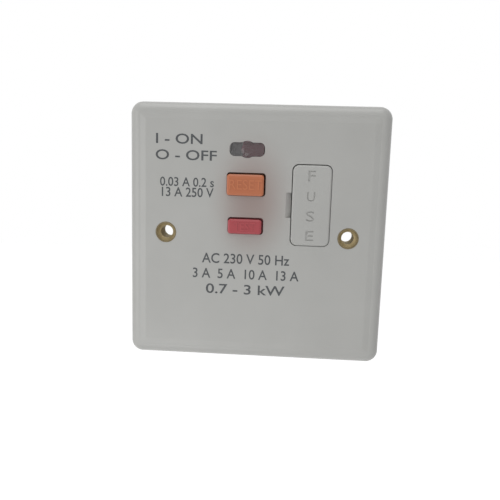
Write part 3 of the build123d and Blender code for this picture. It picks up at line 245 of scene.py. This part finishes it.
def moulded(name, colour, shade, roughness, skin_mm, skin_depth_mm, warm_shade=False):
    """Moulded plastic: wide faint flow clouds, under the fine skin that the tool leaves."""
    material = new_material(name)
    tree = material.node_tree
    place = add(tree, "ShaderNodeTexCoord").outputs["Object"]
    clouds = add(
        tree, "ShaderNodeTexNoise", {"Scale": 1 / (CLOUD_W * MM), "Detail": 3.0}, {"Vector": place},
    ).outputs[0]
    tone = add(
        tree, "ShaderNodeValToRGB", links={"Fac": clouds}, stops=[(0.3, colour), (0.7, shade)],
    ).outputs[0]
    # Painted shade round the buttons, warmed by painted light off the caps
    if warm_shade:
        tone = painted_warm_shade(tree, place, tone)
    skin = add(tree, "ShaderNodeTexNoise", {"Scale": 1 / (skin_mm * MM)}, {"Vector": place}).outputs[0]
    gloss = add(
        tree, "ShaderNodeMapRange",
        {"To Min": roughness - MOULDED_SPREAD, "To Max": roughness + MOULDED_SPREAD}, {"Value": skin},
    ).outputs[0]
    relief = add(tree, "ShaderNodeBump", {"Distance": skin_depth_mm * MM}, {"Height": skin}).outputs[0]
    shader = add(
        tree, "ShaderNodeBsdfPrincipled", {"IOR": 1.5},
        {"Base Color": tone, "Roughness": gloss, "Normal": relief},
    ).outputs[0]
    add(tree, "ShaderNodeOutputMaterial", links={"Surface": shader})
    return material


def lip_painted_shade(tree, place, tone, front_mm, depth_mm, dark):
    """A metal's tone with painted shade at the piece's front, standing in for a dimmer reflection, and as
    before from a given depth on.
    """
    depth = add(tree, "ShaderNodeSeparateXYZ", links={"Vector": place}).outputs["Y"]
    inside = add(
        tree, "ShaderNodeMapRange",
        {"From Min": front_mm * MM, "From Max": (front_mm + depth_mm) * MM}, {"Value": depth},
    ).outputs[0]
    return add(
        tree, "ShaderNodeMix", {MIX_FIRST: linear(dark)}, {MIX_SHARE: inside, MIX_SECOND: tone},
        data_type="RGBA",
    ).outputs[MIX_RESULT]


def worked_metal(
    name, colour, shade, roughness, grain_mm, grain_depth_mm, drawn_out=(1.0, 1.0, 1.0), shaded_lip=None,
):
    """Metal: small patches of tarnish, a grain drawn out by the work, and painted shade on its lip if it has
    one.
    """
    material = new_material(name)
    tree = material.node_tree
    place = add(tree, "ShaderNodeTexCoord").outputs["Object"]
    patches = add(
        tree, "ShaderNodeTexNoise", {"Scale": 1 / (TARNISH_W * MM), "Detail": 3.0}, {"Vector": place},
    ).outputs[0]
    tone = add(
        tree, "ShaderNodeValToRGB", links={"Fac": patches}, stops=[(0.35, colour), (0.7, shade)],
    ).outputs[0]
    # Painted shade on the lip, for a dimmer reflection there
    if shaded_lip:
        tone = lip_painted_shade(tree, place, tone, *shaded_lip)
    drawn = add(tree, "ShaderNodeMapping", {"Scale": drawn_out}, {"Vector": place}).outputs[0]
    grain = add(
        tree, "ShaderNodeTexNoise", {"Scale": 1 / (grain_mm * MM), "Detail": 4.0}, {"Vector": drawn},
    ).outputs[0]
    gloss = add(
        tree, "ShaderNodeMapRange",
        {"To Min": roughness - METAL_SPREAD, "To Max": roughness + METAL_SPREAD}, {"Value": grain},
    ).outputs[0]
    relief = add(tree, "ShaderNodeBump", {"Distance": grain_depth_mm * MM}, {"Height": grain}).outputs[0]
    shader = add(
        tree, "ShaderNodeBsdfPrincipled", {"Metallic": 1.0},
        {"Base Color": tone, "Roughness": gloss, "Normal": relief},
    ).outputs[0]
    add(tree, "ShaderNodeOutputMaterial", links={"Surface": shader})
    return material


def wound_wire(name, wire_mm):
    """Enamelled copper wire laid turn beside turn: a rounded ridge for each turn, with painted shade between
    them.
    """
    material = new_material(name)
    tree = material.node_tree
    place = add(tree, "ShaderNodeTexCoord").outputs["Object"]
    turns = add(
        tree, "ShaderNodeTexWave", {"Scale": WAVE_LENGTH / (wire_mm * MM)}, {"Vector": place},
        wave_type="BANDS", bands_direction="X",
    ).outputs["Fac"]
    # Painted shade: the tone darkens where the grooves between the turns lie
    tone = add(
        tree, "ShaderNodeValToRGB", links={"Fac": turns}, stops=[(0.0, "#5E2F1B"), (0.6, "#B5704A")],
    ).outputs[0]
    relief = add(tree, "ShaderNodeBump", {"Distance": TURN_RIDGE * MM}, {"Height": turns}).outputs[0]
    shader = add(
        tree, "ShaderNodeBsdfPrincipled", {"Metallic": 1.0, "Roughness": 0.32},
        {"Base Color": tone, "Normal": relief},
    ).outputs[0]
    add(tree, "ShaderNodeOutputMaterial", links={"Surface": shader})
    return material


def clear_window():
    """Clear moulded acrylic: see-through, with a faint ripple in its skin."""
    material = new_material("clear_acrylic")
    tree = material.node_tree
    place = add(tree, "ShaderNodeTexCoord").outputs["Object"]
    skin = add(tree, "ShaderNodeTexNoise", {"Scale": 1 / (1.2 * MM)}, {"Vector": place}).outputs[0]
    relief = add(tree, "ShaderNodeBump", {"Distance": 0.004 * MM}, {"Height": skin}).outputs[0]
    shader = add(
        tree, "ShaderNodeBsdfPrincipled",
        {"Base Color": linear("#F2F0F0"), "IOR": 1.49, "Roughness": 0.06, "Transmission Weight": 1.0},
        {"Normal": relief},
    ).outputs[0]
    add(tree, "ShaderNodeOutputMaterial", links={"Surface": shader})
    return material


def print_ink():
    """Pad-printed ink: matt dark grey, a little thin in places."""
    material = new_material("pad_print_ink")
    tree = material.node_tree
    place = add(tree, "ShaderNodeTexCoord").outputs["Object"]
    thin = add(tree, "ShaderNodeTexNoise", {"Scale": 1 / (0.4 * MM)}, {"Vector": place}).outputs[0]
    tone = add(
        tree, "ShaderNodeValToRGB", links={"Fac": thin}, stops=[(0.3, "#3E4042"), (0.75, "#505355")],
    ).outputs[0]
    shader = add(tree, "ShaderNodeBsdfPrincipled", {"Roughness": 0.55}, {"Base Color": tone}).outputs[0]
    add(tree, "ShaderNodeOutputMaterial", links={"Surface": shader})
    return material


def circuit_laminate():
    """Glass and epoxy board under green lacquer: copper tracks show through it as paler raised lines."""
    material = new_material("lacquered_fr4")
    tree = material.node_tree
    place = add(tree, "ShaderNodeTexCoord").outputs["Object"]
    flat = add(tree, "ShaderNodeMapping", {"Rotation": (math.pi / 2, 0, 0)}, {"Vector": place}).outputs[0]
    tracks = add(
        tree, "ShaderNodeTexBrick",
        {
            "Scale": 1 / (TRACK_UNIT * MM), "Mortar Size": TRACK_HALF_W / TRACK_UNIT,
            "Brick Width": TRACK_JOIN / TRACK_UNIT, "Row Height": TRACK_PITCH / TRACK_UNIT,
        },
        {"Vector": flat}, offset=TRACK_STAGGER,
    ).outputs["Fac"]
    tone = add(
        tree, "ShaderNodeValToRGB", links={"Fac": tracks}, stops=[(0.1, "#123F2A"), (0.9, "#2E7048")],
    ).outputs[0]
    relief = add(tree, "ShaderNodeBump", {"Distance": TRACK_RISE * MM}, {"Height": tracks}).outputs[0]
    shader = add(
        tree, "ShaderNodeBsdfPrincipled", {"Roughness": 0.35}, {"Base Color": tone, "Normal": relief},
    ).outputs[0]
    add(tree, "ShaderNodeOutputMaterial", links={"Surface": shader})
    return material


def banded_resistor():
    """Tan lacquer, smooth and glossy, with four coloured value bands round the body."""
    material = new_material("resistor_lacquer")
    tree = material.node_tree
    place = add(tree, "ShaderNodeTexCoord").outputs["Object"]
    across = add(tree, "ShaderNodeSeparateXYZ", links={"Vector": place}).outputs["X"]
    low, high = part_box("test_resistor")
    share = add(
        tree, "ShaderNodeMapRange", {"From Min": low.x, "From Max": high.x}, {"Value": across},
    ).outputs[0]
    stops = [(0.0, LACQUER_TAN)]
    for start, band in VALUE_BANDS.items():
        stops += [(start, band), (start + BAND_SHARE, LACQUER_TAN)]
    bands = add(tree, "ShaderNodeValToRGB", links={"Fac": share}, stops=stops)
    bands.color_ramp.interpolation = "CONSTANT"
    shader = add(
        tree, "ShaderNodeBsdfPrincipled", {"Roughness": 0.3}, {"Base Color": bands.outputs[0]},
    ).outputs[0]
    add(tree, "ShaderNodeOutputMaterial", links={"Surface": shader})
    return material


# Each moulding and metal has its name, two tones, roughness, and its skin's or grain's width and depth
# in millimetres. Where the real one is too fine to show, the width is as coarse as it needs to be
FINISHES = {
    # Urea moulding, pressed: pale grey-white with a soft gloss and a very fine orange peel
    # On the plate, painted shade round the buttons, warmed by painted light off the caps
    "plate": moulded("moulded_urea_plate", PLATE_COLOUR, PLATE_SHADE, 0.36, 0.9, 0.006, warm_shade=True),
    "urea": moulded("moulded_urea", PLATE_COLOUR, PLATE_SHADE, 0.36, 0.9, 0.006),
    # ABS caps, injection moulded: even strong colour, a little glossier than the plate
    "orange_cap": moulded("moulded_abs_orange", "#B56A46", "#AF6541", 0.34, 0.8, 0.006),
    "red_cap": moulded("moulded_abs_red", "#A84248", "#A03E44", 0.34, 0.8, 0.006),
    # The caps' raised words: the same plastic, a little paler as a painted highlight where they catch light
    "orange_word_highlight": moulded("abs_orange_painted_highlight", "#BF744D", "#B96F49", 0.3, 0.8, 0.004),
    "red_word_highlight": moulded("abs_red_painted_highlight", "#B04A50", "#A8464B", 0.3, 0.8, 0.004),
    # Acrylic window, moulded: clear and glossy, so that the flag's colours show behind it
    "lens": clear_window(),
    # Acetal flag, moulded: matt dark grey with a matt dark red panel, both dull behind the window
    "flag_black": moulded("moulded_acetal_black", "#6A6869", "#666465", 0.55, 0.5, 0.01),
    "flag_red": moulded("moulded_acetal_red", "#601F2F", "#5C1D2D", 0.5, 0.5, 0.01),
    # Polycarbonate housing from a spark-eroded tool: matt, grey and slightly grainy
    "housing": moulded("spark_textured_polycarbonate", "#C9C8C4", "#C3C2BE", 0.55, 0.35, 0.02),
    # Nylon without pigment, moulded: cream and waxy
    "nylon": moulded("natural_nylon", "#CFC9B8", "#C6C0AF", 0.45, 0.6, 0.01),
    # Brass, pressed and left to tarnish: dull straw with a blurred shine, and painted shade darkening the
    # lip
    "eyelet_brass": worked_metal(
        "tarnished_pressed_brass", "#B9AB8A", "#9F9271", 0.68, 0.5, 0.004, (1.0, 0.3, 1.0),
        shaded_lip=(front_y("left_eyelet"), EYELET_SHADED_LIP, "#7D735C"),
    ),
    # Brass bar, sawn and drilled: brighter yellow, fine lines along the cut
    "terminal_brass": worked_metal(
        "machined_brass", "#BFA15C", "#AD9152", 0.3, 0.25, 0.004, (1.0, 1.0, 0.15),
    ),
    # Brass strip, rolled: long fine grain
    "strap_brass": worked_metal("rolled_brass", "#B79A5A", "#A68B51", 0.32, 0.3, 0.003, (1.0, 1.0, 0.15)),
    # Copper strip, rolled: warm pink-brown, long fine grain
    "copper": worked_metal("rolled_copper", "#B87754", "#A66A4A", 0.3, 0.3, 0.003, (0.15, 1.0, 1.0)),
    # Zinc plate on steel: cold silver, slightly uneven
    "zinc": worked_metal("zinc_plated_steel", "#B4B6B8", "#A3A6A9", 0.3, 0.4, 0.003),
    # Spring steel, drawn: darker grey with a tight shine
    "spring_wire": worked_metal("drawn_spring_steel", "#8E9092", "#7D8083", 0.28, 0.3, 0.002),
    # Nickel plate on the fuse's caps: pale, warm and bright
    "nickel": worked_metal("nickel_plated_brass", "#B9B6AE", "#AAA79F", 0.22, 0.3, 0.002, (1.0, 1.0, 0.2)),
    # Copper wire, enamelled and wound: bright red-brown ridges with painted shade in the lines between the
    # turns
    "solenoid_coil": wound_wire("solenoid_wire", 0.25),
    "toroid_coil": wound_wire("toroid_wire", 0.3),
    # Glass and epoxy laminate, etched and lacquered: glossy dark green with paler tracks
    "board": circuit_laminate(),
    # Epoxy cases, transfer moulded: flat black
    "black_case": moulded("moulded_epoxy_black", "#26282A", "#202224", 0.5, 0.4, 0.01),
    # Epoxy dip over the varistor: blue, glossy, gently uneven
    "varistor": moulded("dipped_epoxy_blue", "#2C4F8C", "#274780", 0.3, 1.0, 0.03),
    # Lacquer dip over the resistor: glossy tan with painted bands
    "resistor": banded_resistor(),
    # Ferrite, sintered: dark, dry and grainy
    "ferrite": moulded("sintered_ferrite", "#3A3B3D", "#323335", 0.6, 0.3, 0.02),
    # Ceramic tube, glazed: off-white with a wet shine
    "ceramic": moulded("glazed_ceramic", "#E2DFD6", "#DAD7CE", 0.2, 2.0, 0.01),
    # Ink, pad printed: matt dark grey, with thin places
    "ink": print_ink(),
}

NODE_FINISHES = {
    "plate": ["front_plate"],
    "urea": ["fuse_carrier"],
    "orange_cap": ["reset_button"],
    "red_cap": ["test_button"],
    "lens": ["window_lens"],
    "flag_black": ["status_flag"],
    "flag_red": ["flag_red_panel"],
    "housing": ["rear_housing"],
    "nylon": ["inner_frame", "flag_lever", "contact_carriage", "solenoid_bobbin", "plunger_tip"],
    "eyelet_brass": ["left_eyelet", "right_eyelet"],
    "terminal_brass": [name for name in NODES if name.endswith("_terminal")],
    "strap_brass": ["earth_strap", "test_contact"],
    "copper": [
        "neutral_moving_contact", "live_moving_contact", "neutral_load_contact", "live_load_contact",
        "neutral_strip", "live_strip", "fuse_feed_strip", "upper_fuse_clip", "lower_fuse_clip",
    ],
    "zinc": [
        "flag_lever_pin", "board_screws", "solenoid_yoke", "trip_plunger", "housing_screws",
        *(name for name in NODES if name.endswith("_screw")),
    ],
    "spring_wire": ["reset_spring", "test_spring"],
    "solenoid_coil": ["solenoid_winding"],
    "toroid_coil": ["toroid_winding"],
    "board": ["circuit_board"],
    "black_case": ["control_chip", "smoothing_capacitor"],
    "varistor": ["surge_varistor"],
    "resistor": ["test_resistor"],
    "ferrite": ["toroid_core"],
    "ceramic": ["fuse_tube"],
    "nickel": ["fuse_caps"],
}


def dress_nodes():
    """Gives every node of the frame its finish."""
    for finish, names in NODE_FINISHES.items():
        for name in names:
            mesh = NODES[name].data
            mesh.materials.clear()
            mesh.materials.append(FINISHES[finish])


# Pieces

def show(name, mesh, body, finish):
    """Links a finished mesh as a piece that rides on a body."""
    piece = bpy.data.objects.new(name, mesh)
    bpy.context.scene.collection.objects.link(piece)
    mesh.materials.clear()
    mesh.materials.append(FINISHES[finish])
    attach(piece, body)
    return piece


def letter_solid(name, text, swell=0.0):
    """Text as a closed mesh, drawn flat in X and Z and a unit thick in Y."""
    curve = bpy.data.curves.new(name, "FONT")
    curve.body = text
    curve.offset = swell
    curve.extrude = 0.5
    curve.resolution_u = LETTER_STEPS
    holder = bpy.data.objects.new(name + "_curve", curve)
    bpy.context.scene.collection.objects.link(holder)
    bpy.context.view_layer.update()
    mesh = bpy.data.meshes.new_from_object(holder.evaluated_get(bpy.context.evaluated_depsgraph_get()))
    bpy.data.objects.remove(holder)
    bpy.data.curves.remove(curve)
    mesh.transform(Matrix.Rotation(math.pi / 2, 4, "X"))
    form = bmesh.new()
    form.from_mesh(mesh)
    bmesh.ops.remove_doubles(form, verts=form.verts, dist=LETTER_WELD)
    bmesh.ops.recalc_face_normals(form, faces=form.faces)
    form.to_mesh(mesh)
    form.free()
    mesh.name = name
    return mesh


def fit_word(mesh, x0, x1, z0, z1, y0, y1):
    """Stretches a letter mesh to fill a box given in millimetres."""
    places = [v.co for v in mesh.vertices]
    low = Vector([min(p[i] for p in places) for i in range(3)])
    high = Vector([max(p[i] for p in places) for i in range(3)])
    want_low = Vector((x0, y0, z0)) * MM
    want_high = Vector((x1, y1, z1)) * MM
    scale = [(want_high[i] - want_low[i]) / (high[i] - low[i]) for i in range(3)]
    mesh.transform(Matrix.Translation(want_low) @ Matrix.Diagonal((*scale, 1.0)) @ Matrix.Translation(-low))


def print_rows():
    """Dark print on the plate: the switch's two states, ratings and plain numbers."""
    face_y = front_y("front_plate")
    for name, (text, x0, x1, z0, z1) in PLATE_ROWS.items():
        mesh = letter_solid(name, text, PRINT_SWELL)
        fit_word(mesh, x0, x1, z0, z1, face_y - PRINT_T, face_y + PRINT_T)
        show(name, mesh, "unit", "ink")


def cap_words():
    """Low raised words moulded on both caps, a little paler as a painted highlight."""
    for node, body, finish, slot in (
        ("reset_button", "reset", "orange_word_highlight", "orange_button"),
        ("test_button", "test", "red_word_highlight", "red_button"),
    ):
        text, x0, x1, z0, z1 = CAP_WORDS[node]
        name = text.lower() + "_word"
        cap_y = front_y(node)
        mesh = letter_solid(name, text)
        fit_word(mesh, x0, x1, z0, z1, cap_y - CAP_WORD_T, cap_y + CAP_WORD_T)
        show(name, mesh, body, finish)


def merged_copy(node, name):
    """A copy of a node's mesh with its loose triangles joined and flat faces made whole."""
    form = bmesh.new()
    form.from_mesh(NODES[node].data)
    bmesh.ops.remove_doubles(form, verts=form.verts, dist=NODE_WELD * MM)
    bmesh.ops.dissolve_limit(
        form, angle_limit=math.radians(FLAT_WITHIN), verts=form.verts, edges=form.edges,
    )
    mesh = bpy.data.meshes.new(name)
    form.to_mesh(mesh)
    form.free()
    return mesh


def engraved_carrier():
    """The fuse carrier with its word cut into the face, one letter below another."""
    face_y = front_y("fuse_carrier")
    body = bpy.data.objects.new("carrier_blank", merged_copy("fuse_carrier", "carrier_blank"))
    bpy.context.scene.collection.objects.link(body)
    cutters = []
    for letter, (width, z0, z1) in FUSE_LETTERS.items():
        x0 = FUSE_LETTER_X - width / 2
        x1 = FUSE_LETTER_X + width / 2
        mesh = letter_solid("cut_" + letter, letter)
        fit_word(mesh, x0, x1, z0, z1, face_y - CUTTER_OVERHANG, face_y + ENGRAVING_DEPTH)
        cutter = bpy.data.objects.new("cut_" + letter, mesh)
        bpy.context.scene.collection.objects.link(cutter)
        cut = body.modifiers.new(letter, "BOOLEAN")
        cut.operation = "DIFFERENCE"
        cut.solver = "EXACT"
        cut.object = cutter
        cutters.append(cutter)
    bpy.context.view_layer.update()
    mesh = bpy.data.meshes.new_from_object(body.evaluated_get(bpy.context.evaluated_depsgraph_get()))
    for helper in [body] + cutters:
        bpy.data.objects.remove(helper)
    # Marking the edges sets every face to one smoothness, so the flat faces are made flat after it
    mesh.set_sharp_from_angle(angle=math.radians(CARRIER_EDGE))
    for face in mesh.polygons:
        face.use_smooth = abs(face.normal.y) < FACES_FRONT
    piece = show("engraved_carrier", mesh, "fuse_carrier", "urea")
    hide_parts("fuse_carrier")


def pressed_test_spring():
    """The test spring as a piece of its own, made from the node's mesh, which rides on the unit."""
    mesh = merged_copy("test_spring", "closing_test_spring")
    mesh.set_sharp_from_angle(angle=math.radians(SPRING_EDGE))
    spring = show("closing_test_spring", mesh, "unit", "spring_wire")
    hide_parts("test_spring")
    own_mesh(spring)


# Stage, light and camera

def shows_background(tree):
    """1 for rays that show the background: from the camera, off gloss or through glass."""
    rays = add(tree, "ShaderNodeLightPath").outputs
    seen = add(
        tree, "ShaderNodeMath", links={0: rays["Is Camera Ray"], 1: rays["Is Glossy Ray"]},
        operation="MAXIMUM",
    ).outputs[0]
    return add(
        tree, "ShaderNodeMath", links={0: seen, 1: rays["Is Transmission Ray"]}, operation="MAXIMUM",
    ).outputs[0]


def floor():
    """Wide pale floor, well below the object."""
    form = bmesh.new()
    bmesh.ops.create_grid(form, x_segments=1, y_segments=1, size=FLOOR_SIZE / 2 * MM)
    bmesh.ops.translate(form, verts=form.verts, vec=(0, 0, cad_low[2] - FLOOR_DROP * MM))
    mesh = bpy.data.meshes.new("floor")
    form.to_mesh(mesh)
    form.free()
    piece = bpy.data.objects.new("floor", mesh)
    bpy.context.scene.collection.objects.link(piece)
    # Matt white board: no shine, white to the eye
    material = new_material("matt_white_board")
    tree = material.node_tree
    glow = add(
        tree, "ShaderNodeMath", {1: FLOOR_GLOW}, {0: shows_background(tree)}, operation="MULTIPLY",
    ).outputs[0]
    shader = add(
        tree, "ShaderNodeBsdfPrincipled",
        {"Base Color": linear("#F0F0F0"), "Roughness": 0.9, "Emission Color": linear("#FFFFFF")},
        {"Emission Strength": glow},
    ).outputs[0]
    add(tree, "ShaderNodeOutputMaterial", links={"Surface": shader})
    mesh.materials.append(material)


def white_world():
    """White behind everything, and an even dimmer light from all round."""
    world = bpy.data.worlds.new("studio")
    world.use_nodes = True
    world.node_tree.nodes.clear()
    tree = world.node_tree
    strength = add(
        tree, "ShaderNodeMapRange", {"To Min": AMBIENT, "To Max": 1.0}, {"Value": shows_background(tree)},
    ).outputs[0]
    back = add(tree, "ShaderNodeBackground", {"Color": (1, 1, 1, 1)}, {"Strength": strength}).outputs[0]
    add(tree, "ShaderNodeOutputWorld", links={"Surface": back})
    bpy.context.scene.world = world


def softboxes():
    """Square studio lights that face the object."""
    for name, (place, size, watts) in SOFTBOXES.items():
        light = bpy.data.lights.new(name, "AREA")
        light.shape = "SQUARE"
        light.size = size * MM
        light.energy = watts
        lamp = bpy.data.objects.new(name, light)
        lamp.location = Vector(place) * MM
        lamp.rotation_euler = (-lamp.location).to_track_quat("-Z", "Y").to_euler()
        bpy.context.scene.collection.objects.link(lamp)


def camera():
    """The photograph's view."""
    lens = bpy.data.cameras.new("photo_camera")
    lens.lens = CAMERA_LENS
    lens.sensor_width = SENSOR
    lens.clip_start = NEAREST_SEEN * MM
    lens.clip_end = FARTHEST_SEEN * MM
    view = bpy.data.objects.new("photo_camera", lens)
    turn = Matrix.Rotation(math.radians(CAMERA_TURN), 4, "Z")
    tilt = Matrix.Rotation(math.radians(90 - CAMERA_TILT), 4, "X")
    roll = Matrix.Rotation(math.radians(CAMERA_ROLL), 4, "Z")
    view.matrix_world = Matrix.Translation(Vector(CAMERA_PLACE) * MM) @ turn @ tilt @ roll
    bpy.context.scene.collection.objects.link(view)
    bpy.context.scene.camera = view
    bpy.context.scene.view_settings.view_transform = "Standard"


camera()
dress_nodes()
print_rows()
cap_words()
engraved_carrier()
pressed_test_spring()
floor()
white_world()
softboxes()
